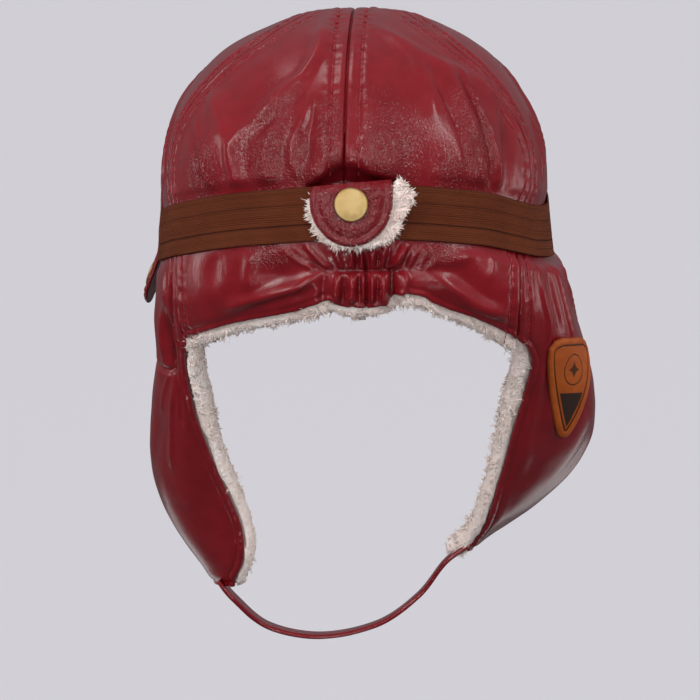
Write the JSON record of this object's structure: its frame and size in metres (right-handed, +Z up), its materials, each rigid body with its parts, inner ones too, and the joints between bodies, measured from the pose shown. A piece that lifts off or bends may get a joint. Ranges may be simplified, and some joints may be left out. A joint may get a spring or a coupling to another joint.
{
  "type": "aviator hat",
  "caption": "Soft aviator hat with ear flaps: panelled leathercloth crown, fleece lining, elastic strap held by snapped keepers, sewn patch and chin strap; keeps head and ears warm",
  "frame": {"origin": "where the top of the wearer's head meets the fleece, on the hat's middle line", "axes": "+Z up out of the crown, +Y to the wearer's front, +X to the wearer's right"},
  "size_m": [0.2196, 0.2302, 0.303],
  "materials": {
    "burgundy_leather": "glossy burgundy leathercloth with fine grain and creases",
    "white_fleece": "off-white sherpa fleece with short curly pile",
    "brown_elastic": "matt brown woven elastic with fine ribs along its length",
    "snap_brass": "satin brass snap cap",
    "tan_leather": "tan leather with a dark tooled border line"
  },
  "bodies": {
    "root": {"panel_back_left": "burgundy_leather", "panel_back_right": "burgundy_leather", "panel_side_left": "burgundy_leather", "panel_side_right": "burgundy_leather", "panel_front_left": "burgundy_leather", "panel_front_right": "burgundy_leather", "lining_back_left": "white_fleece", "lining_back_right": "white_fleece", "lining_side_left": "white_fleece", "lining_side_right": "white_fleece", "lining_front_left": "white_fleece", "lining_front_right": "white_fleece", "elastic_strap": "brown_elastic", "keeper_back": "burgundy_leather", "keeper_back_fleece": "white_fleece", "keeper_left": "burgundy_leather", "snap_back": "snap_brass", "snap_left": "snap_brass", "patch": "tan_leather", "chin_strap": "burgundy_leather"}
  },
  "joints": []
}
